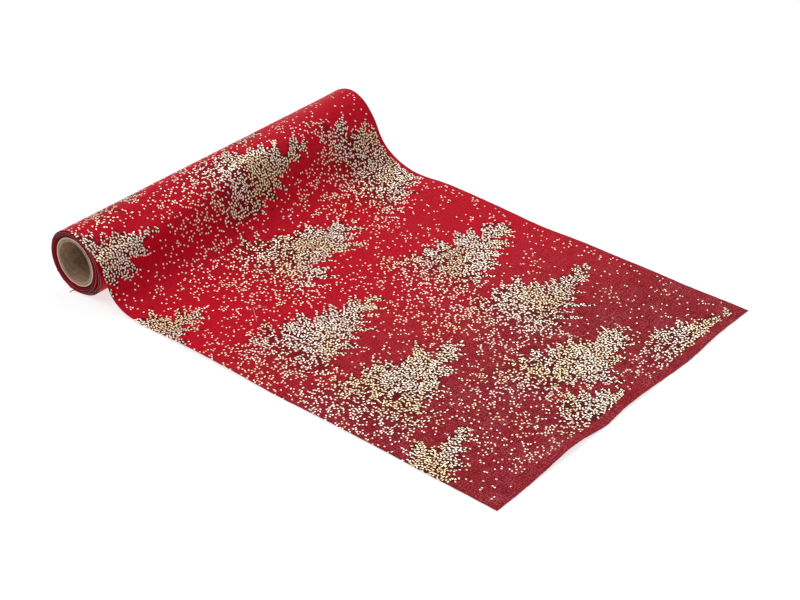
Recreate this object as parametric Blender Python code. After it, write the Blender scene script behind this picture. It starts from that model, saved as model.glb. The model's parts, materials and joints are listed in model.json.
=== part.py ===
"""A roll of decorative wrapping cloth on a card core, with the first stretch drawn out and laid flat.

Metres, +Z up. The roll's axis runs along Y, the cloth leaves over the top of the roll towards +X,
comes down to the surface in an S and lies flat to its cut edge. The origin is on the surface that
the roll rests on, at the middle of the whole object's length and width.

Four stretches of the one cloth move by themselves: the wound turns, which spin with the core, the
outer turn with the slope that comes down from it, the laid stretch and the end of the cloth.
"""

import math

import bmesh
import bpy
from mathutils import Vector

# Cloth
CLOTH_WIDTH = 0.2800
CLOTH_T = 0.00025
WINDING_AIR = 0.00011  # between one wound turn and the next
ROLL_R = 0.0238  # outside of the outer turn
REACH = 0.3676  # roll axis to cut edge

# Card core, three plies of board
CORE_BORE_R = 0.0155
CORE_RECESS = 0.0005  # each end of the core, in from the cloth's edge
PLY_T = 0.0008
PLY_COUNT = 3

# Starter tape that holds the inner end of the cloth to the core
TAPE_T = 0.00015
TAPE_WIDTH = 0.0200  # round the core
TAPE_MARGIN = 0.0200  # each end of the tape, in from the end of the core

# Clearances
SEAT_GAP = 0.0003  # between pieces that lie on each other, or butt end to end
SPIN_GAP = 0.0003  # between the wound turns and the outer turn

# Where the cloth comes off the roll: angles seen from the front, anticlockwise from +X.
OUTER_TURN_START = math.radians(330)  # under the slope, low on the +X side
UNDERSIDE = math.radians(270)  # where the roll touches the surface

# The slope at the front end (-Y), which hugs the roll, and at the back end (+Y), which stands off it.
# release: angle at which the cloth leaves the roll; stand_off and rise: the steep middle of the S,
# measured out from the roll's side and up from its axis; steepness: the cloth's fall there;
# foot: roll axis to where the cloth lies flat; the four pulls: how far each bend runs, in roll radii.
FRONT_SLOPE = {
    "release": math.radians(45), "stand_off": 0.0089, "rise": -0.0030,
    "steepness": math.radians(75), "foot": 0.090,
    "pull_off": 0.57, "pull_down": 0.92, "pull_out": 0.84, "pull_flat": 1.56,
}
BACK_SLOPE = {
    "release": math.radians(133), "stand_off": 0.0109, "rise": 0.0022,
    "steepness": math.radians(67), "foot": 0.100,
    "pull_off": 1.39, "pull_down": 1.00, "pull_out": 0.95, "pull_flat": 1.27,
}
FLAT_RUN = 0.0150  # from the last of the slope to the line where the laid cloth lifts

# Fineness of the rounded shapes
CORE_SIDES = 48
TURN_STEPS = 36  # steps in one wound turn
SLOPE_COLUMNS = 8  # strips across the width of the slope
UNDERSIDE_STEPS = 8
OVER_STEPS = 20
BEND_STEPS = 12

# Worked out from the sizes above. The lines across the cloth are measured from the roll's axis.
LIFT_LINE = max(FRONT_SLOPE["foot"], BACK_SLOPE["foot"]) + FLAT_RUN
FOLD_LINE = (LIFT_LINE + REACH) / 2  # where the end of the cloth folds up
CORE_LENGTH = CLOTH_WIDTH - 2 * CORE_RECESS
CORE_R = CORE_BORE_R + PLY_COUNT * PLY_T + (PLY_COUNT - 1) * SEAT_GAP
TAPE_R = CORE_R + SEAT_GAP + TAPE_T
WOUND_START_R = TAPE_R + SEAT_GAP + CLOTH_T  # outer face of the innermost turn
WOUND_END_R = ROLL_R - CLOTH_T - SPIN_GAP
WINDING_PITCH = CLOTH_T + WINDING_AIR
AXIS_X = (ROLL_R - REACH) / 2
AXIS = Vector((AXIS_X, 0, ROLL_R))
HALF_WIDTH = CLOTH_WIDTH / 2


def clear_scene():
    for old in list(bpy.data.objects):
        bpy.data.objects.remove(old, do_unlink=True)


def material(name, colour, roughness):
    made = bpy.data.materials.new(name)
    made.use_nodes = True
    shader = made.node_tree.nodes["Principled BSDF"]
    shader.inputs["Base Color"].default_value = (*colour, 1)
    shader.inputs["Roughness"].default_value = roughness
    shader.inputs["Metallic"].default_value = 0
    return made


def pivot(name, place, parent=None):
    """An empty on a joint's axis."""
    made = bpy.data.objects.new(name, None)
    bpy.context.collection.objects.link(made)
    put_under(made, parent, place)
    return made


def put_under(made, parent, place):
    """Parents an object and sets it down at a place given in the whole object's frame."""
    made.parent = parent
    made.location = place
    ancestor = parent
    while ancestor is not None:
        made.location -= ancestor.location
        ancestor = ancestor.parent


def piece(name, mesh, finish, parent, place):
    mesh.materials.append(finish)
    made = bpy.data.objects.new(name, mesh)
    bpy.context.collection.objects.link(made)
    put_under(made, parent, place)
    return made


def polar(radius, angle):
    """A point (x, z) round the roll's axis."""
    return Vector((radius * math.cos(angle), radius * math.sin(angle)))


def finished_mesh(name, shape, smooth_below=math.radians(30)):
    mesh = bpy.data.meshes.new(name)
    shape.to_mesh(mesh)
    shape.free()
    mesh.shade_smooth()
    mesh.set_sharp_from_angle(angle=smooth_below)
    return mesh


def tube(name, inner_r, wall, length, turn=math.tau, start=0.0):
    """A wall turned about the Y axis: a whole tube, or a curved strip when turn is less than a full one."""
    shape = bmesh.new()
    corners = [
        (polar(radius, start), y)
        for radius, y in (
            (inner_r, -length / 2),
            (inner_r, length / 2),
            (inner_r + wall, length / 2),
            (inner_r + wall, -length / 2),
        )
    ]
    profile = shape.faces.new([shape.verts.new((at.x, y, at.y)) for at, y in corners])
    whole = turn > math.tau - 1e-6
    if whole:
        bmesh.ops.delete(shape, geom=[profile], context="FACES_ONLY")
    bmesh.ops.spin(
        shape,
        geom=[*shape.verts, *shape.edges, *shape.faces],
        axis=(0, -1, 0),
        cent=(0, 0, 0),
        steps=max(3, round(CORE_SIDES * turn / math.tau)),
        angle=turn,
        use_merge=whole,
    )
    bmesh.ops.recalc_face_normals(shape, faces=shape.faces)
    return finished_mesh(name, shape)


def sheet(name, columns):
    """A surface through columns of points: one column for each place across the width, front to back.

    Each column runs from the inner end of the cloth towards its cut edge, so the faces point outwards.
    """
    shape = bmesh.new()
    rows = [[shape.verts.new(at) for at in column] for column in columns]
    for near, far in zip(rows, rows[1:]):
        for k in range(len(near) - 1):
            shape.faces.new((near[k], near[k + 1], far[k + 1], far[k]))
    return finished_mesh(name, shape)


def thicken(cloth):
    """Gives a cloth surface its thickness, on the side away from its face."""
    wall = cloth.modifiers.new("thickness", "SOLIDIFY")
    wall.thickness = CLOTH_T
    wall.offset = -1
    wall.use_even_offset = True


def wound_outline():
    """The outer face of the wound turns, seen from the front, from the core outwards."""
    turns = (WOUND_END_R - WOUND_START_R) / WINDING_PITCH
    steps = math.ceil(turns * TURN_STEPS)
    for k in range(steps + 1):
        to_go = turns * (1 - k / steps)
        angle = OUTER_TURN_START + to_go * math.tau
        yield polar(WOUND_END_R - to_go * WINDING_PITCH, angle)


def curve_through(start, start_pull, end_pull, end, steps):
    """Points on a cubic curve, leaving out its first."""
    first = start + start_pull
    second = end - end_pull
    for k in range(1, steps + 1):
        t = k / steps
        s = 1 - t
        yield s**3 * start + 3 * s * s * t * first + 3 * s * t * t * second + t**3 * end


def slope_at(across):
    """The slope's sizes at a place across the width: 0 at the front end, 1 at the back end."""
    return {key: (1 - across) * FRONT_SLOPE[key] + across * BACK_SLOPE[key] for key in FRONT_SLOPE}


def outer_outline(across):
    """The outer face of the outer turn and the slope, about the roll's axis, up to the lift line."""
    slope = slope_at(across)
    release = slope["release"]
    points = []
    for k in range(UNDERSIDE_STEPS):
        share = k / UNDERSIDE_STEPS
        points.append(polar(ROLL_R, OUTER_TURN_START + share * (UNDERSIDE - OUTER_TURN_START)))
    for k in range(OVER_STEPS + 1):
        share = k / OVER_STEPS
        points.append(polar(ROLL_R, UNDERSIDE + share * (release - UNDERSIDE)))
    leaving = Vector((math.sin(release), -math.cos(release)))
    fall = Vector((math.cos(slope["steepness"]), -math.sin(slope["steepness"])))
    middle = Vector((ROLL_R + slope["stand_off"], slope["rise"]))
    flat_top = CLOTH_T - ROLL_R
    foot = Vector((slope["foot"], flat_top))
    along = Vector((1, 0))
    points += curve_through(
        points[-1],
        slope["pull_off"] * ROLL_R * leaving,
        slope["pull_down"] * ROLL_R * fall,
        middle,
        BEND_STEPS,
    )
    points += curve_through(
        middle,
        slope["pull_out"] * ROLL_R * fall,
        slope["pull_flat"] * ROLL_R * along,
        foot,
        BEND_STEPS,
    )
    points.append(Vector((LIFT_LINE - SEAT_GAP / 2, flat_top)))
    return points


def across_width(share):
    return (share - 0.5) * CLOTH_WIDTH


def make_core(spindle):
    """The core's plies: a brown liner inside, two lighter plies round it."""
    names = ["core_inner_ply", "core_middle_ply", "core_outer_ply"]
    finishes = [
        material("kraft_board", (0.19, 0.115, 0.07), 0.8),
        material("grey_board", (0.42, 0.34, 0.27), 0.85),
        material("cream_board", (0.62, 0.53, 0.43), 0.8),
    ]
    for k in range(PLY_COUNT):
        inner_r = CORE_BORE_R + k * (PLY_T + SEAT_GAP)
        mesh = tube(names[k], inner_r, PLY_T, CORE_LENGTH)
        piece(names[k], mesh, finishes[k], spindle, AXIS)


def make_starter_tape(spindle):
    """A strip of tape along the core, under the first part of the innermost turn."""
    turns = (WOUND_END_R - WOUND_START_R) / WINDING_PITCH
    cloth_start = OUTER_TURN_START + turns * math.tau
    turn = TAPE_WIDTH / TAPE_R
    length = CORE_LENGTH - 2 * TAPE_MARGIN
    mesh = tube("starter_tape", TAPE_R - TAPE_T, TAPE_T, length, turn, cloth_start - turn)
    tape = material("clear_tape", (0.75, 0.72, 0.62), 0.35)
    piece("starter_tape", mesh, tape, spindle, AXIS)


def make_wound_cloth(spindle, cloth):
    outline = list(wound_outline())
    columns = [[(at.x, y, at.y) for at in outline] for y in (-HALF_WIDTH, HALF_WIDTH)]
    thicken(piece("wound_cloth", sheet("wound_cloth", columns), cloth, spindle, AXIS))


def make_outer_turn(cloth):
    columns = []
    for k in range(SLOPE_COLUMNS + 1):
        across = k / SLOPE_COLUMNS
        columns.append([(at.x, across_width(across), at.y) for at in outer_outline(across)])
    thicken(piece("outer_turn", sheet("outer_turn", columns), cloth, None, AXIS))


def flat_cloth(name, start, end, cloth, line):
    """A flat stretch between two distances from the roll's axis, with its origin on the line it turns about."""
    run = (SEAT_GAP / 2, end - start)
    columns = [[(x, y, 0) for x in run] for y in (-HALF_WIDTH, HALF_WIDTH)]
    thicken(piece(name, sheet(name, columns), cloth, line, (AXIS_X + start, 0, CLOTH_T)))


def make_laid_cloth(lift_line, cloth):
    flat_cloth("laid_cloth", LIFT_LINE, FOLD_LINE - SEAT_GAP / 2, cloth, lift_line)


def make_cloth_end(fold_line, cloth):
    flat_cloth("cloth_end", FOLD_LINE, REACH, cloth, fold_line)


def main():
    clear_scene()
    printed_cloth = material("printed_cloth", (0.52, 0.012, 0.03), 0.55)
    spindle = pivot("roll_axis", AXIS)
    lift_line = pivot("lift_line", Vector((AXIS_X + LIFT_LINE, 0, CLOTH_T)))
    fold_line = pivot("fold_line", Vector((AXIS_X + FOLD_LINE, 0, CLOTH_T)), lift_line)
    make_core(spindle)
    make_starter_tape(spindle)
    make_wound_cloth(spindle, printed_cloth)
    make_outer_turn(printed_cloth)
    make_laid_cloth(lift_line, printed_cloth)
    make_cloth_end(fold_line, printed_cloth)


main()
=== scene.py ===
"""A roll of gold-printed wrapping cloth on a card core: the finished look, built round the fixed frame.

Metres, +Z up, in the frame's own place. The cloth comes off the top of the roll towards +X and lies
flat to its cut edge. Every piece here stands on the frame's sizes and joints.
"""

import json
import math

import bpy
import numpy as np
from bpy.props import FloatProperty, FloatVectorProperty, IntProperty, PointerProperty
from bpy.types import Operator, Panel, PropertyGroup
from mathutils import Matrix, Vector


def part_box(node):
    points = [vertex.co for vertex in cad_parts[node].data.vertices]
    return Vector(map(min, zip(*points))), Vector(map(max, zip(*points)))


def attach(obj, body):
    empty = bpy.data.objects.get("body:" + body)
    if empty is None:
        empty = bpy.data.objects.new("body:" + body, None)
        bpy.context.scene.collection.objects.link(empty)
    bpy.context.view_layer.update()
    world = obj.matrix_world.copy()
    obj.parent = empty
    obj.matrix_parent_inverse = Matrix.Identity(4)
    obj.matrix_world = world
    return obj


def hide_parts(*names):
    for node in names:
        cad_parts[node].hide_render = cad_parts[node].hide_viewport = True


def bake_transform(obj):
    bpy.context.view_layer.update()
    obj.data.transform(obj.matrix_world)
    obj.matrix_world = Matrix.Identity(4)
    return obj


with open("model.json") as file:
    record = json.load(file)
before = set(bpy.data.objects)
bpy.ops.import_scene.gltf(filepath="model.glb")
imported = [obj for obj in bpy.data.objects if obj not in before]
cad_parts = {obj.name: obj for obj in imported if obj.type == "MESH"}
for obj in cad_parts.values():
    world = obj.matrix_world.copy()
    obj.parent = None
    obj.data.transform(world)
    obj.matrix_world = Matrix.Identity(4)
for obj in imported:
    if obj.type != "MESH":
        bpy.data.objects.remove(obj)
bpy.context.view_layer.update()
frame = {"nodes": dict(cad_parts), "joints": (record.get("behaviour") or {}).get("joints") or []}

bl_info = {
    "name": "Wrapping cloth roll",
    "version": (1, 0, 0),
    "blender": (4, 5, 0),
    "location": "View3D > Sidebar > Cloth roll",
    "description": "Builds a roll of printed wrapping cloth with its first stretch drawn out",
    "category": "Object",
}

# Places taken from the frame
JOINTS = {joint["name"]: joint for joint in frame["joints"]}
AXIS_X, _, AXIS_Z = JOINTS["roll_spin"]["pos_m"]
LIFT_X = JOINTS["sheet_lift"]["pos_m"][0]
FOLD_X = JOINTS["end_fold"]["pos_m"][0]
CUT_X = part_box("cloth_end")[1].x
ROLL_R = AXIS_Z
REACH = CUT_X - AXIS_X
CLOTH_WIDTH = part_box("laid_cloth")[1].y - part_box("laid_cloth")[0].y
HALF_WIDTH = CLOTH_WIDTH / 2
CORE_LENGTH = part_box("core_outer_ply")[1].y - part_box("core_outer_ply")[0].y
CORE_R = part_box("core_outer_ply")[1].z - AXIS_Z
LINER_WALL = 0.0008  # thickness of the core's inner ply
BORE_R = AXIS_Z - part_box("core_inner_ply")[0].z - LINER_WALL
WOUND_R = 0.02325  # outer face of the last wound turn
WOUND_START_R = 0.0195  # outer face of the first wound turn

MM = 0.001

# How the cloth comes off the roll, at the front end (-Y) and at the back end (+Y).
# release: angle at which it leaves, anticlockwise from +X seen from the front; stand_off and rise:
# the steep middle of the S, out from the roll's side and up from its axis; steepness: the fall there;
# foot: roll axis to where it lies flat; the pulls: how far each bend runs, in roll radii.
FRONT_SLOPE = {
    "release": math.radians(45), "stand_off": 0.0089, "rise": -0.0030,
    "steepness": math.radians(75), "foot": 0.090,
    "pull_off": 0.57, "pull_down": 0.92, "pull_out": 0.84, "pull_flat": 1.56,
}
BACK_SLOPE = {
    "release": math.radians(133), "stand_off": 0.0109, "rise": 0.0022,
    "steepness": math.radians(67), "foot": 0.100,
    "pull_off": 1.39, "pull_down": 1.00, "pull_out": 0.95, "pull_flat": 1.27,
}
OUTER_TURN_START = math.radians(330)
UNDERSIDE = math.radians(270)

# How far before and past a joint the drawn cloth's bend would run; nothing here bends the cloth
BEND_BEFORE = 0.015
BEND_AFTER = 0.035
SEAM_PAST_MIDDLE = 0.009  # moves the seam of the two drawn pieces from midway between the joints
DRAWN_LENGTH = 0.49  # about the length of the drawn cloth; the wound cloth's weave goes on from there

# Rows in the cloth's mesh, stretch by stretch
HIDDEN_ROWS = 16  # where the outer turn starts, under the slope
ROUND_ROWS = 54  # round the roll
FALL_ROWS = 22  # off the roll, down to the steep middle of the S
FOOT_ROWS = 24  # from there to where the cloth lies flat
FLAT_RUN = 0.095  # about the length of the flat stretch up to the seam
TURN_ROWS = 60  # in each wound turn
LOOSE_ROWS = 44  # in each loose turn

# Columns across a wound or loose turn, close together at its edges, and how far in an edge wanders
COLUMN_SHARES = np.array([0, 0.01, 0.03, 0.1, 0.3, 0.5, 0.7, 0.9, 0.97, 0.99, 1])
EDGE_BAND = 0.010

# Gold flakes
FLAKE_SIDES = 6
FLAKE_SUNK = 0.00001  # into the cloth, so that no gap shows under a flake
MOST_FLAKES = 3.0e6  # on a square metre, more than their spacing lets lie
PAST_THE_CLOTH = 1.0  # a way to the cut edge that is longer than the cloth


class ClothSettings(PropertyGroup):
    """The cloth itself: its thickness, its weave and its dye"""

    thickness: FloatProperty(
        name="Thickness", description="From face to back", default=0.00025, unit="LENGTH"
    )
    turn_pitch: FloatProperty(
        name="Turn pitch", description="From one wound turn to the next", default=0.00036, unit="LENGTH"
    )
    grid: FloatProperty(
        name="Grid", description="From one mesh column to the next, and over two mesh rows",
        default=0.0035, unit="LENGTH"
    )
    yarn_pitch: FloatProperty(
        name="Yarn pitch", description="From one yarn to the next", default=0.00048, unit="LENGTH"
    )
    ground: FloatVectorProperty(
        name="Ground", description="Dyed cloth", default=(0.575, 0.0012, 0.017), subtype="COLOR", size=3
    )
    shade: FloatVectorProperty(
        name="Shade", description="Between the yarns", default=(0.31, 0.0006, 0.007), subtype="COLOR", size=3
    )
    # Pale pink on the yarn tops: painted glints, mostly towards the cut edge
    glint_pink: FloatVectorProperty(
        name="Bloom", description="Worn tops of the yarns", default=(0.62, 0.16, 0.20),
        subtype="COLOR", size=3
    )


class PrintSettings(PropertyGroup):
    """The gold print: how the flakes are made and strewn"""

    spacing: FloatProperty(
        name="Spacing", description="Least distance between flakes", default=0.00170, unit="LENGTH"
    )
    flake: FloatProperty(
        name="Flake", description="Width of a gold flake", default=0.00146, unit="LENGTH"
    )
    height: FloatProperty(
        name="Height", description="How far a flake stands up", default=0.00009, unit="LENGTH"
    )
    margin: FloatProperty(
        name="Margin", description="Plain cloth along the far and the cut edge", default=0.0035, unit="LENGTH"
    )
    scorch: FloatProperty(
        name="Scorch", description="How much the press darkens cloth under thick print", default=0.85
    )
    seed: IntProperty(name="Seed", description="Changes where the flakes fall", default=7)
    gold: FloatVectorProperty(
        name="Gold", description="Foil", default=(0.98, 0.82, 0.46), subtype="COLOR", size=3
    )


class CoreSettings(PropertyGroup):
    """The card core that the cloth is wound on"""

    ply_gap: FloatProperty(
        name="Ply gap", description="Glue line between two plies", default=0.00012, unit="LENGTH"
    )
    sides: IntProperty(name="Sides", description="Steps round the core", default=128)
    cream: FloatVectorProperty(
        name="Cream", description="Outer ply", default=(0.66, 0.54, 0.43), subtype="COLOR", size=3
    )
    kraft: FloatVectorProperty(
        name="Kraft", description="Liner of the bore", default=(0.42, 0.265, 0.175), subtype="COLOR", size=3
    )


class StageSettings(PropertyGroup):
    """Where the camera stands and what it points at"""

    azimuth: FloatProperty(
        name="Azimuth", description="Camera, round from the front", default=math.radians(40.29),
        subtype="ANGLE"
    )
    elevation: FloatProperty(
        name="Elevation", description="Camera, above the floor", default=math.radians(32.83), subtype="ANGLE"
    )
    distance: FloatProperty(
        name="Distance", description="Camera to its target", default=1.2494, unit="LENGTH"
    )
    target: FloatVectorProperty(
        name="Target", description="What the camera points at", default=(0.0056, -0.0033, 0), size=3,
        subtype="XYZ", unit="LENGTH"
    )
    lens: FloatProperty(name="Lens", description="Focal length, in mm", default=81.6)


# Reckoning with node sockets


class Value:
    """A number in a node tree that can be reckoned with, so that a formula reads as one."""

    def __init__(self, tree, socket):
        self.tree = tree
        self.socket = socket

    def step(self, operation, *others):
        node = self.tree.nodes.new("ShaderNodeMath")
        node.operation = operation
        for slot, given in zip(node.inputs, (self, *others)):
            plug(self.tree, given, slot)
        return Value(self.tree, node.outputs[0])

    def __add__(self, other):
        return self.step("ADD", other)

    def __sub__(self, other):
        return self.step("SUBTRACT", other)

    def __mul__(self, other):
        return self.step("MULTIPLY", other)

    def __truediv__(self, other):
        return self.step("DIVIDE", other)

    def __neg__(self):
        return self.step("MULTIPLY", -1)

    def over(self, other):
        return self.step("GREATER_THAN", other)

    def ramp(self, start, end, low=0.0, high=1.0):
        """low below start, high above end and smooth between them."""
        node = self.tree.nodes.new("ShaderNodeMapRange")
        node.interpolation_type = "SMOOTHSTEP"
        for slot, given in zip(node.inputs, (self, start, end, low, high)):
            plug(self.tree, given, slot)
        return Value(self.tree, node.outputs[0])


def plug(tree, given, slot):
    """Sets a socket to a number, or links another socket to it."""
    if isinstance(given, Value):
        tree.links.new(given.socket, slot)
    elif isinstance(given, bpy.types.NodeSocket):
        tree.links.new(given, slot)
    else:
        slot.default_value = given


def vector_of(tree, x=0.0, y=0.0, z=0.0):
    """Three numbers as one vector."""
    node = tree.nodes.new("ShaderNodeCombineXYZ")
    for slot, given in zip(node.inputs, (x, y, z)):
        plug(tree, given, slot)
    return node.outputs[0]


def parts_of(tree, vector):
    """A vector's three numbers."""
    node = tree.nodes.new("ShaderNodeSeparateXYZ")
    tree.links.new(vector, node.inputs[0])
    return [Value(tree, out) for out in node.outputs]


def noise_at(tree, vector, scale=1.0, detail=0.0):
    """Smooth noise between 0 and 1."""
    node = tree.nodes.new("ShaderNodeTexNoise")
    tree.links.new(vector, node.inputs["Vector"])
    node.inputs["Scale"].default_value = scale
    node.inputs["Detail"].default_value = detail
    return Value(tree, node.outputs[0])


def mixed(tree, share, first, second):
    """A colour between two others."""
    node = tree.nodes.new("ShaderNodeMix")
    node.data_type = "RGBA"
    plug(tree, share, node.inputs[0])
    for slot, given in ((node.inputs[6], first), (node.inputs[7], second)):
        plug(tree, (*given, 1) if isinstance(given, (tuple, list)) else given, slot)
    return node.outputs[2]


def bumped(tree, height, strength, distance):
    """The surface's direction, roughened by a height."""
    node = tree.nodes.new("ShaderNodeBump")
    node.inputs["Strength"].default_value = strength
    node.inputs["Distance"].default_value = distance
    plug(tree, height, node.inputs["Height"])
    return node.outputs[0]


def finish_of(name, **settings):
    """A new material: its node tree and its shader, with the shader's own sockets set."""
    made = bpy.data.materials.new(name)
    made.use_nodes = True
    shader = made.node_tree.nodes["Principled BSDF"]
    for socket, given in settings.items():
        shader.inputs[socket.replace("_", " ")].default_value = given
    return made, made.node_tree, shader


def uv_of(tree, name):
    """A place on one of the mesh's own maps."""
    node = tree.nodes.new("ShaderNodeUVMap")
    node.uv_map = name
    return node.outputs[0]


def object_place(tree, centre=(0, 0, 0)):
    """Object coordinates, measured from a centre."""
    node = tree.nodes.new("ShaderNodeTexCoord")
    moved = tree.nodes.new("ShaderNodeMapping")
    moved.inputs["Location"].default_value = [-value for value in centre]
    tree.links.new(node.outputs["Object"], moved.inputs[0])
    return moved.outputs[0]


# Finishes


def woven_cloth(cloth, scorch):
    """Dyed plain weave: uneven yarns both ways, with painted dimming, painted sheen, painted glints and
    specks of painted shade towards the cut edge, burnt under thick print.
    """
    # Darker, greyer red towards the cut edge: painted dimming with painted sheen
    dull = (0.19, 0.016, 0.022)
    # Near-black specks between the yarns: painted shade
    gap = (0.09, 0.004, 0.008)
    burnt = (0.075, 0.003, 0.004)
    sealed = (0.16, 0.002, 0.008)  # the two long edges
    made, tree, shader = finish_of("crimson_cloth", Roughness=0.5, Specular_IOR_Level=0.06)
    along, across, _ = parts_of(tree, uv_of(tree, "weave"))
    turn = math.pi / cloth.yarn_pitch
    crossing = (across * turn).step("SINE") * (along * turn).step("SINE")
    relief = crossing.step("ABSOLUTE")
    long_yarns = noise_at(tree, vector_of(tree, along * 90, across * 1800))
    cross_yarns = noise_at(tree, vector_of(tree, along * 1800, across * 90, 4.0))
    blotches = noise_at(tree, vector_of(tree, along * 45, across * 45, 9.0), detail=2)
    grain = noise_at(tree, vector_of(tree, along * 1000, across * 1000), detail=1)
    uneven = (long_yarns + cross_yarns) * 0.5
    depth = (relief * 0.25 + uneven * 0.6 + grain * 0.45).ramp(0.15, 0.78)
    body = mixed(tree, depth, tuple(cloth.shade), tuple(cloth.ground))
    painted_light_near_cut = (along + (across - HALF_WIDTH) * 0.25).ramp(0.06, 0.24, 1.0, 0.0)  # painted dimming and painted sheen, strongest by the cut edge
    tops = (grain + (uneven - 0.5) * 0.7 + (blotches - 0.5) * 0.3).ramp(0.50, 0.74)
    # Darker and greyer towards the cut edge: painted dimming with painted sheen
    dimmed_and_greyed = mixed(tree, painted_light_near_cut * 0.55, body, dull)
    # Dark specks between the yarns, most towards the cut edge: painted shade
    gap_shade_mask = (grain * 1.3 + (uneven - 0.5) * 0.9 - 0.15).ramp(0.36, 0.56, 1.0, 0.0)
    gap_shaded = mixed(tree, gap_shade_mask * (painted_light_near_cut * 0.6 + 0.12), dimmed_and_greyed, gap)
    # Pale yarn tops: painted glints, strongest towards the cut edge
    dressed = mixed(tree, tops * (painted_light_near_cut * 0.42 + 0.008), gap_shaded, tuple(cloth.glint_pink))
    pressed = tree.nodes.new("ShaderNodeAttribute")
    pressed.attribute_name = "pressed"
    scorched = Value(tree, pressed.outputs["Fac"]).ramp(0.26, 0.85)
    dressed = mixed(tree, scorched * scorch, dressed, burnt)
    rim = (across - HALF_WIDTH).step("ABSOLUTE").ramp(HALF_WIDTH - 0.0012, HALF_WIDTH - 0.0003)
    colour = mixed(tree, rim * 0.55, dressed, sealed)
    plug(tree, colour, shader.inputs["Base Color"])
    plug(tree, tops.ramp(0.0, 1.0, 0.52, 0.30), shader.inputs["Roughness"])
    height = relief * 0.4 + uneven * 0.5 + grain * 1.0
    plug(tree, bumped(tree, height, 0.6, 0.00030), shader.inputs["Normal"])
    return made


def cut_cloth_edge():
    """The cut through the weave: painted shade between the yarn ends, pale pink painted highlights on them in
    bands from turn to turn.
    """
    # Near-black between the yarn ends: painted shade
    yarn_gap_shade = (0.022, 0.0005, 0.001)
    ends_red = (0.17, 0.005, 0.011)
    # Pale pink: painted highlights on the yarn ends
    pink_highlight = (0.60, 0.19, 0.22)
    made, tree, shader = finish_of("cut_cloth_edge", Roughness=0.8, Specular_IOR_Level=0.2)
    along, across, _ = parts_of(tree, uv_of(tree, "weave"))
    ends = noise_at(tree, vector_of(tree, along * 1400, across * 400), detail=1)
    patches = noise_at(tree, vector_of(tree, along * 90, across * 20, 3.0), detail=1)
    # Bands a few turns wide decide where the painted highlights fall
    bands = noise_at(tree, vector_of(tree, along * 3.6, 0.0, 7.0), detail=2)
    body = mixed(tree, ends.ramp(0.35, 0.65), yarn_gap_shade, ends_red)
    # Pale pink patches: painted highlights on the yarn ends, in bands
    highlight_mask = (ends * 0.4 + patches * 0.25 + bands * 1.6 - 0.62).ramp(0.46, 0.64)
    plug(tree, mixed(tree, highlight_mask * 0.7, body, pink_highlight), shader.inputs["Base Color"])
    return made


def gold_foil(print_settings):
    """Hot-pressed foil: bright, warmer in some patches than in others, a few flakes dull."""
    silvery = (1.0, 0.93, 0.78)
    tarnished = (0.55, 0.36, 0.20)
    made, tree, shader = finish_of(
        "gold_foil", Metallic=0.3, Roughness=0.3, Specular_IOR_Level=0.8,
    )
    place = object_place(tree)
    patches = noise_at(tree, place, scale=26, detail=1)
    tint = tree.nodes.new("ShaderNodeAttribute")
    tint.attribute_name = "tint"
    own = Value(tree, tint.outputs["Fac"])
    warm = (patches + (own - 0.5) * 0.25).ramp(0.42, 0.66)
    colour = mixed(tree, warm, silvery, tuple(print_settings.gold))
    dull = mixed(tree, own.ramp(0.80, 0.98) * 0.5, colour, tarnished)
    plug(tree, dull, shader.inputs["Base Color"])
    plug(tree, own.ramp(0.0, 1.0, 0.24, 0.44), shader.inputs["Roughness"])
    return made


def board(name, light, dark, fibre=900.0):
    """Card: fibres run round the tube, flecks, and a soft unevenness."""
    made, tree, shader = finish_of(name, Roughness=0.88, Specular_IOR_Level=0.25)
    x, y, z = parts_of(tree, object_place(tree, (AXIS_X, 0, AXIS_Z)))
    round_angle = z.step("ARCTAN2", x)
    radius = (x * x + z * z).step("SQRT")
    fibres = noise_at(tree, vector_of(tree, round_angle * 3, y * fibre, radius * 2600), detail=2)
    flecks = noise_at(tree, vector_of(tree, x * 1300, y * 1300, z * 1300), detail=0)
    tone = (fibres * 0.7 + flecks * 0.3).ramp(0.36, 0.62)
    plug(tree, mixed(tree, tone, dark, light), shader.inputs["Base Color"])
    plug(tree, bumped(tree, fibres + flecks * 0.6, 0.5, 0.00015), shader.inputs["Normal"])
    return made


def bore_board(core):
    """The liner: brown kraft wound as a spiral strip, its butt seam showing as a darker line."""
    kraft = tuple(core.kraft)
    made = board("kraft_liner", kraft, tuple(0.62 * value for value in kraft), fibre=420.0)
    tree = made.node_tree
    shader = tree.nodes["Principled BSDF"]
    x, y, z = parts_of(tree, object_place(tree, (AXIS_X, 0, AXIS_Z)))
    lead = 0.085  # one turn of the strip along the tube
    climb = z.step("ARCTAN2", x) / math.tau + y / lead
    seam = ((climb.step("FRACT") - 0.5).step("ABSOLUTE")).ramp(0.0, 0.006, 1.0, 0.0)
    kraft_colour = shader.inputs["Base Color"].links[0].from_socket
    plug(tree, mixed(tree, seam * 0.6, kraft_colour, (0.04, 0.022, 0.013)), shader.inputs["Base Color"])
    return made


def clear_tape():
    """Film with a yellowish adhesive, in smears along the strip."""
    made, tree, shader = finish_of("clear_tape", Roughness=0.3, Specular_IOR_Level=0.5)
    x, y, z = parts_of(tree, object_place(tree))
    smears = noise_at(tree, vector_of(tree, x * 300, y * 60, z * 300), detail=2)
    plug(tree, mixed(tree, smears, (0.62, 0.56, 0.42), (0.80, 0.76, 0.64)), shader.inputs["Base Color"])
    plug(tree, bumped(tree, smears, 0.3, 0.0001), shader.inputs["Normal"])
    return made


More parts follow.
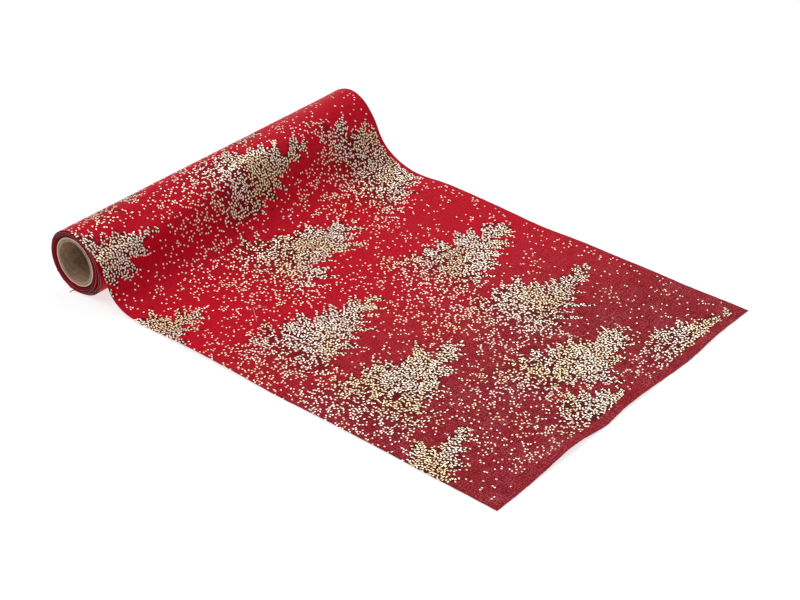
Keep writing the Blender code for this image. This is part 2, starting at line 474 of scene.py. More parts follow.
def yarn(name, colour):
    """A single thread, mottled by its twist."""
    made, tree, shader = finish_of(name, Roughness=0.8, Specular_IOR_Level=0.2)
    x, y, z = parts_of(tree, object_place(tree))
    plies = noise_at(tree, vector_of(tree, x * 2500, y * 2500, z * 2500))
    dark = tuple(0.45 * value for value in colour)
    plug(tree, mixed(tree, plies.ramp(0.4, 0.6), dark, colour), shader.inputs["Base Color"])
    return made


# Cloth


def slope_at(across):
    """The slope's sizes at a place across the width: 0 at the front end, 1 at the back end."""
    return {key: (1 - across) * FRONT_SLOPE[key] + across * BACK_SLOPE[key] for key in FRONT_SLOPE}


def arc(start, end, steps):
    """Points on the roll's outside, leaving out the last."""
    angle = np.linspace(start, end, steps + 1)[:-1]
    return ROLL_R * np.column_stack([np.cos(angle), np.sin(angle)])


def bend(start, start_pull, end_pull, end, steps):
    """Points on a cubic curve, leaving out the last."""
    t = np.linspace(0, 1, steps + 1)[:-1, None]
    u = 1 - t
    return u**3 * start + 3 * u * u * t * (start + start_pull) + 3 * u * t * t * (end - end_pull) + t**3 * end


def run(start, end, steps):
    """Points on a straight line, leaving out the last."""
    return start + (end - start) * np.linspace(0, 1, steps + 1)[:-1, None]


def seam_distance():
    """Roll axis to the seam between the two drawn-out pieces, near the middle of the laid stretch."""
    return (LIFT_X + FOLD_X) / 2 + SEAM_PAST_MIDDLE - AXIS_X


def drawn_outline(across, grid, thickness):
    """The drawn cloth's face about the roll's axis, from under the slope round the roll to the cut edge.

    Also returns the row at which the second drawn-out piece starts.
    """
    slope = slope_at(across)
    release = slope["release"]
    leave = ROLL_R * np.array([math.cos(release), math.sin(release)])
    leaving = np.array([math.sin(release), -math.cos(release)])
    fall = np.array([math.cos(slope["steepness"]), -math.sin(slope["steepness"])])
    middle = np.array([ROLL_R + slope["stand_off"], slope["rise"]])
    flat = thickness - ROLL_R
    foot = np.array([slope["foot"], flat])
    seam = np.array([seam_distance(), flat])
    cut = np.array([REACH, flat])
    first = [
        arc(OUTER_TURN_START, UNDERSIDE, HIDDEN_ROWS),
        arc(UNDERSIDE, release, ROUND_ROWS),
        bend(leave, slope["pull_off"] * ROLL_R * leaving,
             slope["pull_down"] * ROLL_R * fall, middle, FALL_ROWS),
        bend(middle, slope["pull_out"] * ROLL_R * fall,
             slope["pull_flat"] * ROLL_R * np.array([1, 0]), foot, FOOT_ROWS),
        run(foot, seam, round(FLAT_RUN / grid)),
    ]
    second = [run(seam, cut, round((REACH - seam_distance()) / grid)), cut[None]]
    return np.concatenate(first + second), sum(len(part) for part in first)


def bell(value, centre, spread):
    """1 at the centre, falling away smoothly on both sides."""
    return np.exp(-(((value - centre) / spread) ** 2))


def eased(value, start, end):
    """0 up to start, 1 from end on and smooth between them."""
    t = np.clip((value - start) / (end - start), 0, 1)
    return t * t * (3 - 2 * t)


def lift_of(distance, y):
    """How far the laid cloth stands off the surface, by distance from the roll's axis and place across."""
    far_edge = 2.5 * MM * eased(y, 0.085, 0.138) * eased(distance, 0.066, 0.100)
    far_edge = far_edge * (1 - eased(distance, 0.120, 0.205))
    near_edge = 0.8 * MM * eased(-y, 0.095, 0.138) * eased(distance, 0.064, 0.090)
    near_edge = near_edge * (1 - eased(distance, 0.150, 0.200))
    swell = 0.8 * MM * (bell(distance, LIFT_X - AXIS_X, 0.030) + bell(distance, FOLD_X - AXIS_X, 0.034))
    swell = swell * (0.75 + 0.25 * np.sin(38 * y + 1.0))
    ripple = 0.25 * MM * (1 + np.sin(70 * distance + 24 * y) * np.sin(46 * y - 30 * distance + 0.7))
    cut = 2.7 * MM * bell(y, -0.065, 0.021) + 1.0 * MM * bell(y, 0.006, 0.022)
    cut = (cut + 0.5 * MM * bell(y, 0.090, 0.02)) * eased(distance, REACH - 0.024, REACH) ** 1.3
    return far_edge + near_edge + (swell + ripple) * eased(distance, 0.070, 0.105) + cut


def wander(place, seed, size):
    """A slow unevenness with a faster one on it."""
    slow = np.sin(place * 41 + seed) + 0.6 * np.sin(place * 97 + seed * 2.3)
    fast = 0.35 * np.sin(place * 410 + seed * 3.1) + 0.25 * np.sin(place * 930 + seed * 5.7)
    return size * (slow + fast) / 2


def way_left(steps):
    """From each row to the last one, given the steps between rows."""
    return steps.sum() - np.concatenate([[0], np.cumsum(steps)])


def drawn_cloth_grid(cloth):
    """Face points, the way along the cloth to its cut edge and the way across it, and the seam's row."""
    columns = round(CLOTH_WIDTH / cloth.grid)
    shares = np.linspace(0, 1, columns + 1)
    places, ways = [], []
    for share in shares:
        outline, seam_row = drawn_outline(share, cloth.grid / 2, cloth.thickness)
        steps = np.linalg.norm(np.diff(outline, axis=0), axis=1)
        ways.append(way_left(steps))
        places.append(outline)
    outline = np.stack(places, axis=1)
    along = np.stack(ways, axis=1)
    y = np.broadcast_to((shares - 0.5) * CLOTH_WIDTH, along.shape)
    up = lift_of(outline[..., 0], y)
    side = eased(np.abs(y), HALF_WIDTH - 0.006, HALF_WIDTH) * np.sign(y)
    y_out = y + side * wander(along, 1.7 + np.sign(y), 0.00035)
    wave = 1.8 * MM * (bell(y, -0.030, 0.014) + bell(y, 0.065, 0.034))
    ragged = eased(-along, -0.006, 0) * wander(y, 0.4, 0.0005)
    x_out = outline[..., 0] + ragged + eased(-along, -0.03, 0) * wave
    points = np.stack([AXIS_X + x_out, y_out, AXIS_Z + outline[..., 1] + up], axis=-1)
    return points, along, y + HALF_WIDTH, seam_row


def normals_of(points):
    """Which way a grid's face looks, at each of its points."""
    along = np.gradient(points, axis=0)
    across = np.gradient(points, axis=1)
    normal = np.cross(along, across)
    return normal / np.linalg.norm(normal, axis=-1, keepdims=True)


def round_the_axis(radius, angle, y):
    """Points about the roll's axis, for distances, angles and places along it."""
    x = AXIS_X + radius * np.cos(angle)
    z = AXIS_Z + radius * np.sin(angle)
    return np.stack(np.broadcast_arrays(x, y, z), -1)


def new_object(name, data):
    """Adds an object to the scene."""
    made = bpy.data.objects.new(name, data)
    bpy.context.scene.collection.objects.link(made)
    return made


def set_map(mesh, name, corners):
    """Gives a mesh a map, from one place for each face corner."""
    layer = mesh.uv_layers.new(name=name)
    layer.uv.foreach_set("vector", np.asarray(corners, np.float32).ravel())


def grid_faces(rows, columns):
    """Corner numbers of a grid's squares, anticlockwise from the face side."""
    r, c = np.meshgrid(np.arange(rows - 1), np.arange(columns - 1), indexing="ij")
    r, c = r.ravel(), c.ravel()
    corner = r * columns + c
    return np.stack([corner, corner + columns, corner + columns + 1, corner + 1], 1)


def face_sheet(name, points, along, across):
    """The cloth's face alone, for the print to be laid on."""
    rows, columns = along.shape
    faces = grid_faces(rows, columns)
    mesh = bpy.data.meshes.new(name)
    mesh.from_pydata(points.reshape(-1, 3).tolist(), [], faces.tolist())
    weave = np.stack([along, across], -1).reshape(-1, 2)
    set_map(mesh, "weave", weave[faces])
    return new_object(name, mesh)


def cloth_piece(name, points, normals, along, across, thickness):
    """A closed cloth: face, back and four edges."""
    rows, columns = along.shape
    top = points.reshape(-1, 3)
    back = top - thickness * normals.reshape(-1, 3)
    count = rows * columns
    index = np.arange(count).reshape(rows, columns)
    face = grid_faces(rows, columns)
    sides = []
    for edge, way in ((index[:, 0], 1), (index[:, -1], -1), (index[0], -1), (index[-1], 1)):
        edge = edge[::way]
        sides.append(np.stack([edge[:-1], edge[:-1] + count, edge[1:] + count, edge[1:]], 1))
    faces = np.concatenate([face, face[:, ::-1] + count, *sides])
    mesh = bpy.data.meshes.new(name)
    mesh.from_pydata(np.concatenate([top, back]).tolist(), [], faces.tolist())
    weave = np.stack([along, across], -1).reshape(-1, 2)
    weave = np.concatenate([weave, weave])
    outward = [(0, -1), (0, 1), (1, 0), (-1, 0)]  # the weave runs on over the four edges
    maps = [weave[face], weave[face[:, ::-1]]]
    for side, (u, v) in zip(sides, outward):
        over_edge = (side >= count)[..., None] * thickness * np.array([u, v])
        maps.append(weave[side] + over_edge)
    set_map(mesh, "weave", np.concatenate(maps))
    set_map(mesh, "OFBake", np.concatenate(bake_blocks(weave, count, face, sides)))
    for finish in cloth_finishes():
        mesh.materials.append(finish)
    wears = np.zeros(len(faces), np.int32)
    wears[2 * len(face):] = 1
    mesh.polygons.foreach_set("material_index", wears)
    mesh.shade_smooth()
    mesh.set_sharp_from_angle(angle=math.radians(50))
    return new_object(name, mesh)


def cloth_finishes():
    """The finishes that each piece of cloth wears: on its two sides, and on its edges."""
    return bpy.data.materials["crimson_cloth"], bpy.data.materials["cut_cloth_edge"]


def bake_blocks(weave, count, face, sides):
    """A second map for the finished colours: the two sides as blocks, the four cuts as strips above them."""
    low = weave.min(0)
    share = (weave - low) / (weave.max(0) - low)
    blocks = [(face, 0.01, 0.47), (face[:, ::-1], 0.49, 0.95)]
    found = []
    for corners, bottom, top in blocks:
        at = share[corners]
        found.append(np.stack([0.01 + 0.98 * at[..., 0], bottom + (top - bottom) * at[..., 1]], -1))
    for k, side in enumerate(sides):
        way = 0 if k < 2 else 1
        bottom = 0.960 + 0.010 * k
        found.append(np.stack([0.01 + 0.98 * share[side][..., way], bottom + 0.006 * (side >= count)], -1))
    return found


# Print


def print_trees():
    """Where the printed firs stand: way to the cut edge, way across from the middle, height and spread."""
    firs = [(0.318, 0.176, 0.140, 0.070), (0.004, 0.140, 0.130, 0.050)]  # tips on or past the far edge
    for row_way, tips in (
        (0.000, (0.026,)),
        (0.056, (0.072, -0.083)),
        (0.122, (0.121, -0.014)),
        (0.198, (0.131, -0.006)),
        (0.282, (0.062, -0.092)),
        (0.357, (0.071, -0.084)),
        (0.424, (0.121, -0.012)),
        (0.490, (0.060, -0.088)),
    ):
        for k, across in enumerate(tips):
            way = row_way + 0.006 * math.sin(90 * row_way + 2 * k)
            height = (0.152 + 0.008 * k) * (0.72 if row_way == 0 else 1.0)
            firs.append((way, across, height, 0.055 + 0.004 * math.sin(400 * row_way + k)))
    return sorted(firs, key=lambda fir: -fir[1])


def fir_group():
    """A node group: how thickly gold lies at a place, given one fir and what is printed behind it."""
    group = bpy.data.node_groups.new("Fir", "GeometryNodeTree")
    face = group.interface
    for name in ("Along", "Across", "Behind", "Tip along", "Tip across", "Height", "Spread", "Seed"):
        face.new_socket(name, in_out="INPUT", socket_type="NodeSocketFloat")
    face.new_socket("Gold", in_out="OUTPUT", socket_type="NodeSocketFloat")
    start = group.nodes.new("NodeGroupInput")
    along, across, behind, tip_along, tip_across, height, spread, seed = [
        Value(group, socket) for socket in start.outputs[:8]
    ]
    sideways = along - tip_along
    outward = sideways.step("ABSOLUTE")
    down = tip_across - across
    side = sideways.step("SIGN") * 3.7 + seed * 11.3
    bough_line = down + outward * 0.82  # boughs rise outwards, so they keep this number
    boughs = noise_at(group, vector_of(group, bough_line * 150, side), detail=0)
    spikes = noise_at(group, vector_of(group, bough_line * 420, side, 5.0), detail=0)
    ragged = ((boughs - 0.5) * 0.038 + (spikes - 0.5) * 0.024) * (down / 0.010).step("MINIMUM", 1.0)
    crown = (down.step("MAXIMUM", 0.0) / height * 1.25).step("MINIMUM", 1.0) * spread
    inside = crown + ragged - outward
    soft = down.step("MAXIMUM", 0.0) * 0.09 + 0.0005
    share = down / height
    edge = inside.ramp(-soft, soft) * down.ramp(0.0, 0.002)
    fade = share.ramp(0.28, 0.85, 1.0, 0.34) * share.ramp(0.80, 1.45, 1.0, 0.15)
    own = edge * fade
    hidden = share.ramp(0.30, 0.95, 1.0, 0.0)
    clear = inside.ramp(-0.015, -0.002) * down.ramp(-0.016, 0.002) * hidden * 0.95
    kept = behind * (-clear + 1.0)
    end = group.nodes.new("NodeGroupOutput")
    plug(group, own.step("MAXIMUM", kept), end.inputs[0])
    return group


def gold_field(tree, margin):
    """How thickly gold lies at a place on the cloth: a light scatter, and firs one before another."""
    weave = tree.nodes.new("GeometryNodeInputNamedAttribute")
    weave.data_type = "FLOAT_VECTOR"
    weave.inputs["Name"].default_value = "weave"
    along, across, _ = parts_of(tree, weave.outputs["Attribute"])
    middle = across - HALF_WIDTH
    scatter = noise_at(tree, vector_of(tree, along * 45, across * 45, 2.0), detail=1)
    gold = scatter.ramp(0.38, 0.68, 0.04, 0.22)
    gold = gold * (along + across * 0.5).ramp(0.04, 0.12, 0.25, 1.0)  # thin towards the near cut corner
    group = bpy.data.node_groups.get("Fir") or fir_group()
    for k, (tip_along, tip_across, height, spread) in enumerate(print_trees()):
        fir = tree.nodes.new("GeometryNodeGroup")
        fir.node_tree = group
        here = (along, middle, gold)
        for slot, value in zip(fir.inputs, (*here, tip_along, tip_across, height, spread, float(k))):
            plug(tree, value, slot)
        gold = Value(tree, fir.outputs[0])
    gold = gold * along.ramp(margin * 1.8, margin * 2.4)  # no print along the cut and the far edge
    gold = gold * (-across + CLOTH_WIDTH).ramp(margin * 0.8, margin * 1.2)
    return gold, along


def noted(tree, geometry, name, value):
    """Stores a number on a geometry's points."""
    store = tree.nodes.new("GeometryNodeStoreNamedAttribute")
    store.data_type = "FLOAT"
    store.inputs["Name"].default_value = name
    tree.links.new(geometry, store.inputs["Geometry"])
    plug(tree, value, store.inputs["Value"])
    return store.outputs["Geometry"]


def finished(tree, geometry, finish):
    """Ends a tree: real faces with their finish on them."""
    real = tree.nodes.new("GeometryNodeRealizeInstances")
    tree.links.new(geometry, real.inputs[0])
    dressed = tree.nodes.new("GeometryNodeSetMaterial")
    dressed.inputs["Material"].default_value = finish
    tree.links.new(real.outputs[0], dressed.inputs["Geometry"])
    end = tree.nodes.new("NodeGroupOutput")
    tree.links.new(dressed.outputs[0], end.inputs[0])


def press_tree(finish):
    """Geometry nodes that note on a cloth's face how thickly gold lies there."""
    tree = bpy.data.node_groups.new("Press", "GeometryNodeTree")
    tree.interface.new_socket("Geometry", in_out="INPUT", socket_type="NodeSocketGeometry")
    tree.interface.new_socket("Margin", in_out="INPUT", socket_type="NodeSocketFloat")
    tree.interface.new_socket("Geometry", in_out="OUTPUT", socket_type="NodeSocketGeometry")
    start = tree.nodes.new("NodeGroupInput")
    gold, _ = gold_field(tree, Value(tree, start.outputs["Margin"]))
    finished(tree, noted(tree, start.outputs["Geometry"], "pressed", gold), finish)
    return tree


def print_tree(foil):
    """Geometry nodes that strew gold flakes over a cloth's face, thick where a fir is printed."""
    tree = bpy.data.node_groups.new("Gold print", "GeometryNodeTree")
    face = tree.interface
    face.new_socket("Geometry", in_out="INPUT", socket_type="NodeSocketGeometry")
    for name in ("Spacing", "Flake", "Flake height", "Margin", "From", "To"):
        face.new_socket(name, in_out="INPUT", socket_type="NodeSocketFloat")
    face.new_socket("Seed", in_out="INPUT", socket_type="NodeSocketInt")
    face.new_socket("Geometry", in_out="OUTPUT", socket_type="NodeSocketGeometry")
    nodes, links = tree.nodes, tree.links
    start = nodes.new("NodeGroupInput")
    given = {socket.name: socket for socket in start.outputs}

    strewn = nodes.new("GeometryNodeDistributePointsOnFaces")
    strewn.distribute_method = "POISSON"
    strewn.inputs["Density Max"].default_value = MOST_FLAKES
    links.new(given["Geometry"], strewn.inputs["Mesh"])
    links.new(given["Spacing"], strewn.inputs["Distance Min"])
    links.new(given["Seed"], strewn.inputs["Seed"])

    gold, along = gold_field(tree, Value(tree, given["Margin"]))
    lot = random_value(tree, 0.0, 1.0, 3)
    kept = (gold - lot).over(0.0) * (along - Value(tree, given["From"])).over(0.0)
    kept = kept * (Value(tree, given["To"]) - along).over(0.0)
    dropped = nodes.new("GeometryNodeDeleteGeometry")
    dropped.domain = "POINT"
    links.new(strewn.outputs["Points"], dropped.inputs["Geometry"])
    plug(tree, -kept + 1.0, dropped.inputs["Selection"])
    tinted = noted(tree, dropped.outputs[0], "tint", random_value(tree, 0.0, 1.0, 5))

    laid = nodes.new("GeometryNodeInstanceOnPoints")
    links.new(tinted, laid.inputs["Points"])
    links.new(flake_shape(tree, given["Flake"], given["Flake height"]), laid.inputs["Instance"])
    links.new(flake_turn(tree, strewn.outputs["Rotation"]), laid.inputs["Rotation"])
    links.new(flake_stretch(tree, gold), laid.inputs["Scale"])
    finished(tree, laid.outputs[0], foil)
    return tree


def flake_shape(tree, width, height):
    """One flake: a flat six-sided cone, sunk a hair into the cloth."""
    flake = tree.nodes.new("GeometryNodeMeshCone")
    flake.fill_type = "NGON"
    flake.inputs["Vertices"].default_value = FLAKE_SIDES
    flake.inputs["Radius Top"].default_value = 0.0
    plug(tree, Value(tree, width) / 2, flake.inputs["Radius Bottom"])
    plug(tree, height, flake.inputs["Depth"])
    sunk = tree.nodes.new("GeometryNodeTransform")
    tree.links.new(flake.outputs["Mesh"], sunk.inputs["Geometry"])
    plug(tree, vector_of(tree, 0.0, 0.0, -FLAKE_SUNK), sunk.inputs["Translation"])
    return sunk.outputs["Geometry"]


def flake_turn(tree, cloth_way):
    """Each flake turned its own way on the cloth, and leaning a little, so that they glint one by one."""
    turned = tree.nodes.new("FunctionNodeRotateRotation")
    turned.rotation_space = "LOCAL"
    spin = tree.nodes.new("FunctionNodeAxisAngleToRotation")
    spin.inputs["Axis"].default_value = (0.05, 0.02, 1)
    plug(tree, random_value(tree, 0.0, math.tau, 8), spin.inputs["Angle"])
    tree.links.new(cloth_way, turned.inputs[0])
    tree.links.new(spin.outputs[0], turned.inputs[1])
    return turned.outputs[0]


def flake_stretch(tree, gold):
    """How much longer than wide each flake is: most where the gold lies thickly."""
    thick = gold.ramp(0.15, 0.8)
    length = random_value(tree, 0.95, 1.30, 11) * (thick * 0.65 + 1.0)
    return vector_of(tree, length, random_value(tree, 0.80, 1.05, 13), 1.0)


def random_value(tree, low, high, seed):
    """A number of its own for each point."""
    node = tree.nodes.new("FunctionNodeRandomValue")
    node.data_type = "FLOAT"
    numbers = [slot for slot in node.inputs if slot.type == "VALUE"]
    numbers[0].default_value = low
    numbers[1].default_value = high
    node.inputs["Seed"].default_value = seed
    out = next(slot for slot in node.outputs if slot.type == "VALUE")
    return Value(tree, out)


def run_over(cloth_face, tree, values):
    """Runs a node tree over a cloth's face, and returns what comes of it as a plain mesh."""
    modifier = cloth_face.modifiers.new("nodes", "NODES")
    modifier.node_group = tree
    for item in tree.interface.items_tree:
        if item.in_out == "INPUT" and item.name in values:
            modifier[item.identifier] = values[item.name]
    graph = bpy.context.evaluated_depsgraph_get()
    mesh = bpy.data.meshes.new_from_object(cloth_face.evaluated_get(graph))
    cloth_face.modifiers.remove(modifier)
    return mesh


def strew(name, cloth_face, tree, values):
    """A piece made of the flakes that a tree lays on a cloth's face."""
    mesh = run_over(cloth_face, tree, values)
    mesh.name = name
    if not mesh.polygons:
        raise RuntimeError(f"{name} has no flakes")
    flake_maps(mesh)
    return new_object(name, mesh)


def pressing(points, along, across, margin):
    """How thickly gold lies at each point of the drawn cloth."""
    cloth_face = face_sheet("pressed_face", points, along, across)
    mesh = run_over(cloth_face, press_tree(bpy.data.materials["crimson_cloth"]), {"Margin": margin})
    found = np.empty(along.size, np.float32)
    mesh.attributes["pressed"].data.foreach_get("value", found)
    bpy.data.objects.remove(cloth_face, do_unlink=True)
    bpy.data.meshes.remove(mesh)
    return found.reshape(along.shape)


def flake_maps(mesh):
    """A map that gives each flake a cell of its own, for the finished colours."""
    per_flake = FLAKE_SIDES + 1  # the corners and the peak
    flakes = len(mesh.vertices) // per_flake
    side = math.ceil(math.sqrt(flakes))
    vertex = np.empty(len(mesh.loops), np.int32)
    mesh.loops.foreach_get("vertex_index", vertex)
    flake, corner = np.divmod(vertex, per_flake)
    centre = np.column_stack([flake % side + 0.5, flake // side + 0.5])
    angle = corner * math.tau / FLAKE_SIDES
    reach = np.where(corner == FLAKE_SIDES, 0, 0.47)[:, None]
    place = centre + reach * np.column_stack([np.cos(angle), np.sin(angle)])
    layer = mesh.uv_layers.get("OFBake") or mesh.uv_layers.new(name="OFBake")
    layer.uv.foreach_set("vector", (place / side).astype(np.float32).ravel())


# Operators


class CLOTHROLL_OT_core(Operator):
    """Make the card core: three plies and the starter tape's finish"""

    bl_idname = "cloth_roll.core"
    bl_label = "Card core"

    def execute(self, context):
        core = context.scene.core_settings
        cream = tuple(core.cream)
        grey = tuple(0.5 * value for value in cream)
        finishes = (
            ("core_inner_ply", "kraft_board", bore_board(core)),
            ("core_middle_ply", "grey_board", board("grey_ply", grey, tuple(0.6 * v for v in grey))),
            ("core_outer_ply", "cream_board", board("cream_ply", cream, tuple(0.74 * v for v in cream))),
        )
        wall = (CORE_R - BORE_R - 2 * core.ply_gap) / 3
        for k, (node, slot, finish) in enumerate(finishes):
            inner = BORE_R + k * (wall + core.ply_gap)
            ply = ply_tube(node + "_card", inner, inner + wall, core.sides, finish, k)
            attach(ply, "roll")
            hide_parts(node)
        tape = frame["nodes"]["starter_tape"]
        tape.data.materials.clear()
        tape.data.materials.append(clear_tape())
        return {"FINISHED"}


def ply_tube(name, inner, outer, sides, finish, seed):
    """One ply of the core, its cut ends slightly uneven and their corners taken off."""
    nick = 0.00012
    half = CORE_LENGTH / 2
    profile = [
        (inner, -half + nick), (inner + nick, -half), (outer - nick, -half), (outer, -half + nick),
        (outer, half - nick), (outer - nick, half), (inner + nick, half), (inner, half - nick),
    ]
    angle = np.arange(sides) * math.tau / sides
    points = []
    for radius, y in profile:
        uneven = 0.00010 * np.sin(3 * angle + seed) + 0.00006 * np.sin(11 * angle + 2 * seed)
        out = y + np.sign(y) * uneven * (abs(y) > half - 2 * nick)
        points.append(round_the_axis(radius, angle, out))
    count = len(profile)
    points = np.stack(points, 1).reshape(-1, 3)
    faces = []
    for k in range(sides):
        after = (k + 1) % sides
        for j in range(count):
            next_j = (j + 1) % count
            faces.append((k * count + j, after * count + j, after * count + next_j, k * count + next_j))
    mesh = bpy.data.meshes.new(name)
    mesh.from_pydata(points.tolist(), [], faces)
    mesh.materials.append(finish)
    mesh.shade_smooth()
    mesh.set_sharp_from_angle(angle=math.radians(35))
    return new_object(name, mesh)


class CLOTHROLL_OT_wound_turns(Operator):
    """Make the cloth wound on the core, its edges wandering from turn to turn"""

    bl_idname = "cloth_roll.wound_turns"
    bl_label = "Wound turns"

    def execute(self, context):
        cloth = context.scene.cloth_settings
        turns = (WOUND_R - WOUND_START_R) / cloth.turn_pitch
        rows = math.ceil(turns * TURN_ROWS)
        to_go = turns * (1 - np.arange(rows + 1) / rows)
        angle = OUTER_TURN_START + to_go * math.tau
        radius = WOUND_R - to_go * cloth.turn_pitch
        y = np.broadcast_to((COLUMN_SHARES - 0.5) * CLOTH_WIDTH, (rows + 1, len(COLUMN_SHARES)))
        near = shuffle_of(to_go, 0.0)
        far = shuffle_of(to_go, 2.0)
        side = eased(np.abs(y), HALF_WIDTH - EDGE_BAND, HALF_WIDTH)
        shift = np.where(y < 0, -near[:, None], far[:, None]) * side
        steps = np.hypot(np.diff(radius * np.cos(angle)), np.diff(radius * np.sin(angle)))
        points = round_the_axis(radius[:, None], angle[:, None], y + shift)
        along = np.broadcast_to((DRAWN_LENGTH + way_left(steps))[:, None], y.shape)
        wound = cloth_piece("wound_turns", points, normals_of(points), along, y + HALF_WIDTH, cloth.thickness)
        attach(wound, "roll")
        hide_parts("wound_cloth")
        return {"FINISHED"}


def shuffle_of(to_go, seed):
    """How far the cloth's edge stands out from the core's end, turn by turn."""
    groups = 0.45 * np.sin(1.35 * to_go + seed) + 0.3 * np.sin(2.9 * to_go + 1.7 * seed)
    return MM * (groups + 0.12 * np.sin(9.1 * to_go + seed))


class CLOTHROLL_OT_loose_turns(Operator):
    """Make the last turns, which hang loose under the slope"""

    bl_idname = "cloth_roll.loose_turns"
    bl_label = "Loose turns"

    def execute(self, context):
        cloth = context.scene.cloth_settings
        angle = np.linspace(math.radians(42), math.radians(-84), LOOSE_ROWS)
        open_by = np.sin(np.linspace(0, math.pi, LOOSE_ROWS)) ** 2
        y = np.broadcast_to((COLUMN_SHARES - 0.5) * CLOTH_WIDTH, (LOOSE_ROWS, len(COLUMN_SHARES)))
        side = eased(np.abs(y), HALF_WIDTH - EDGE_BAND, HALF_WIDTH) * np.sign(y)
        slack = (0.9, 1.7, 2.5, 3.2, 3.9)
        sheets = []
        for k, most in enumerate(slack):
            swell = most * MM * (1 - 0.25 * COLUMN_SHARES)[None, :] * open_by[:, None]
            radius = ROLL_R - 0.05 * MM + swell
            edge = (0.3 * math.sin(2.1 * k) - 0.2) * MM
            points = round_the_axis(radius, angle[:, None], y + side * edge)
            steps = np.linalg.norm(np.diff(points[:, 0], axis=0), axis=1)
            way = 0.5 + 0.15 * k + way_left(steps)  # well apart, so that no two turns have the same grain
            along = np.broadcast_to(way[:, None], y.shape)
            name = f"loose_turn_{k + 1}"
            sheets.append(
                cloth_piece(name, points, normals_of(points), along, y + HALF_WIDTH, cloth.thickness)
            )
        for loose in sheets:
            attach(loose, "outer_turn")
        return {"FINISHED"}


class CLOTHROLL_OT_drawn_cloth(Operator):
    """Make the outer turn, the slope and the laid cloth with its end"""

    bl_idname = "cloth_roll.drawn_cloth"
    bl_label = "Drawn cloth"

    def execute(self, context):
        cloth = context.scene.cloth_settings
        points, along, across, seam = drawn_cloth_grid(cloth)
        normals = normals_of(points)
        pressed = pressing(points, along, across, context.scene.print_settings.margin)
        upper = slice(None, seam + 1)
        lower = slice(seam, None)
        for name, rows, rests_on in (
            ("cloth_off_the_roll", upper, ["wound_turns"]),
            ("cloth_to_the_cut", lower, ["floor"]),
        ):
            piece = cloth_piece(
                name, points[rows], normals[rows], along[rows], across[rows], cloth.thickness
            )
            note = piece.data.attributes.new("pressed", "FLOAT", "POINT")
            unprinted_back = np.zeros(along[rows].size)
            note.data.foreach_set("value", np.concatenate([pressed[rows].ravel(), unprinted_back]))
            length = float((along[rows][0] - along[rows][-1]).mean())
            bend_across(piece)
        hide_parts("outer_turn", "laid_cloth")
        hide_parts("cloth_end")
        return {"FINISHED"}


def bend_across(piece):
    """Works out the joint that a piece crosses and the stretch about it, without bending anything, and bakes
    the piece's place into its mesh.
    """
    low_x = min(corner[0] for corner in piece.bound_box)
    if low_x < LIFT_X:
        joint_x, before, after = LIFT_X, "outer_turn", "laid_cloth"
    else:
        joint_x, before, after = FOLD_X, "laid_cloth", "cloth_end"
    start = (joint_x - BEND_BEFORE, 0, 0)
    end = (joint_x + BEND_AFTER, 0, 0)
    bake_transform(piece)


class CLOTHROLL_OT_gold_print(Operator):
    """Print the firs in gold flakes on the drawn cloth"""

    bl_idname = "cloth_roll.gold_print"
    bl_label = "Gold print"

    def execute(self, context):
        cloth = context.scene.cloth_settings
        settings = context.scene.print_settings
        points, along, across, seam = drawn_cloth_grid(cloth)
        cloth_face = face_sheet("cloth_face", points, along, across)
        seam_way = float(along[seam].mean())
        tree = print_tree(gold_foil(settings))
        values = {
            "Spacing": settings.spacing, "Flake": settings.flake, "Flake height": settings.height,
            "Margin": settings.margin, "Seed": settings.seed,
        }
        for name, nearest, furthest in (
            ("gold_off_the_roll", seam_way, PAST_THE_CLOTH),
            ("gold_to_the_cut", 0.0, seam_way),
        ):
            foil = strew(name, cloth_face, tree, {**values, "From": nearest, "To": furthest})
            bend_across(foil)
        bpy.data.objects.remove(cloth_face, do_unlink=True)
        return {"FINISHED"}


class CLOTHROLL_OT_threads(Operator):
    """Lay the loose yarn end under the roll and the pale fibre on the cloth"""

    bl_idname = "cloth_roll.threads"
    bl_label = "Loose threads"

    def execute(self, context):
        points, along, _, _ = drawn_cloth_grid(context.scene.cloth_settings)
        hangs = [
            (-0.1722, -0.1390, 0.0016), (-0.1736, -0.1410, 0.0012),
            (-0.1752, -0.1428, 0.0006), (-0.1749, -0.1446, 0.0004),
        ]
        yarn_end = strand("yarn_end", hangs, 0.28 * MM, yarn("yarn_end", (0.16, 0.004, 0.010)))
        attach(yarn_end, "outer_turn")
        lies = [  # way to the cut edge, way across from the middle
            (0.253, -0.070), (0.258, -0.0745), (0.2595, -0.077),
            (0.254, -0.081), (0.248, -0.0855), (0.245, -0.088),
        ]
        raised = np.array([0, 0, 0.18 * MM])
        rests = [resting(points, along, way, across) + raised for way, across in lies]
        lint = strand("lint", rests, 0.16 * MM, yarn("pale_fibre", (0.86, 0.52, 0.50)))
        bend_across(lint)
        return {"FINISHED"}


def resting(points, along, way, across):
    """A point of the drawn cloth's face, by its ways to the cut edge and across from the middle."""
    column = round((across / CLOTH_WIDTH + 0.5) * (along.shape[1] - 1))
    x, z = (np.interp(-way, -along[:, column], points[:, column, axis]) for axis in (0, 2))
    return np.array([x, across, z])


